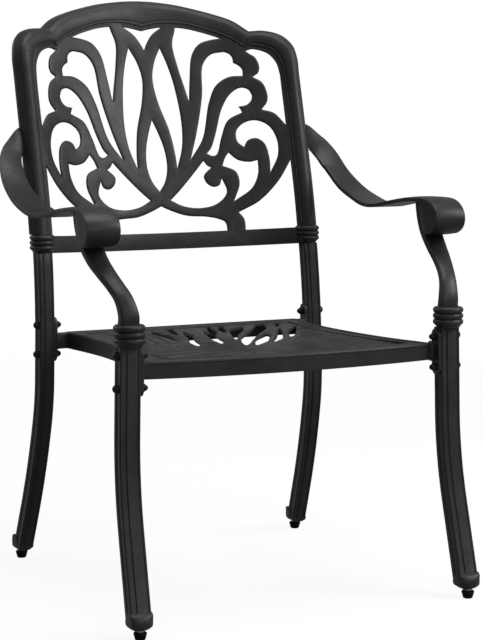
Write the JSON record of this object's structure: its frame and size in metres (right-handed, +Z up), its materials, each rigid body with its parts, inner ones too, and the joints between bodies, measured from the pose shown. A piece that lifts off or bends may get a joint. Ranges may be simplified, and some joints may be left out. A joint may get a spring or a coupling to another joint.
{
  "type": "garden armchair",
  "caption": "Cast garden armchair with a curved scrollwork back, openwork seat, scrolled ribbon armrests and splayed legs on levelling glides.",
  "frame": {"origin": "on the floor under the middle of the chair's box", "axes": "+Z up, the sitter faces -Y, +X to the right of someone who looks at the chair's front"},
  "size_m": [0.636, 0.6906, 0.9331],
  "materials": {
    "casting": "satin black powder coat",
    "hardware": "satin black paint",
    "insert": "zinc plated",
    "stem": "zinc plated screw thread",
    "pad": "matt moulded"
  },
  "bodies": {
    "chair": {"crest_rail": "casting", "back_panel": "casting", "back_post_left": "casting", "back_post_right": "casting", "back_lower_rail": "casting", "front_collar_left": "casting", "front_collar_right": "casting", "rear_collar_left": "casting", "rear_collar_right": "casting", "front_leg_left": "casting", "front_leg_right": "casting", "rear_leg_left": "casting", "rear_leg_right": "casting", "armrest_left": "casting", "armrest_right": "casting", "arm_support_left": "casting", "arm_support_right": "casting", "seat_rim": "casting", "seat_grille": "casting", "seat_lug_front_left": "casting", "seat_lug_front_right": "casting", "seat_lug_rear_left": "casting", "seat_lug_rear_right": "casting", "seat_bolts": "hardware", "seat_washers": "hardware", "seat_cap_nuts": "hardware", "foot_insert_front_left": "insert", "foot_insert_front_right": "insert", "foot_insert_rear_left": "insert", "foot_insert_rear_right": "insert"},
    "glide_front_left": {"leveller_stem_front_left": "stem", "leveller_pad_front_left": "pad"},
    "glide_front_right": {"leveller_stem_front_right": "stem", "leveller_pad_front_right": "pad"},
    "glide_rear_left": {"leveller_stem_rear_left": "stem", "leveller_pad_rear_left": "pad"},
    "glide_rear_right": {"leveller_stem_rear_right": "stem", "leveller_pad_rear_right": "pad"}
  },
  "joints": [
    {"name": "level_front_left", "type": "slide", "parent": "chair", "child": "glide_front_left", "axis": [0, 0, -1], "range_m": [0, 0.008]},
    {"name": "level_front_right", "type": "slide", "parent": "chair", "child": "glide_front_right", "axis": [0, 0, -1], "range_m": [0, 0.008]},
    {"name": "level_rear_left", "type": "slide", "parent": "chair", "child": "glide_rear_left", "axis": [0, 0, -1], "range_m": [0, 0.008]},
    {"name": "level_rear_right", "type": "slide", "parent": "chair", "child": "glide_rear_right", "axis": [0, 0, -1], "range_m": [0, 0.008]}
  ]
}
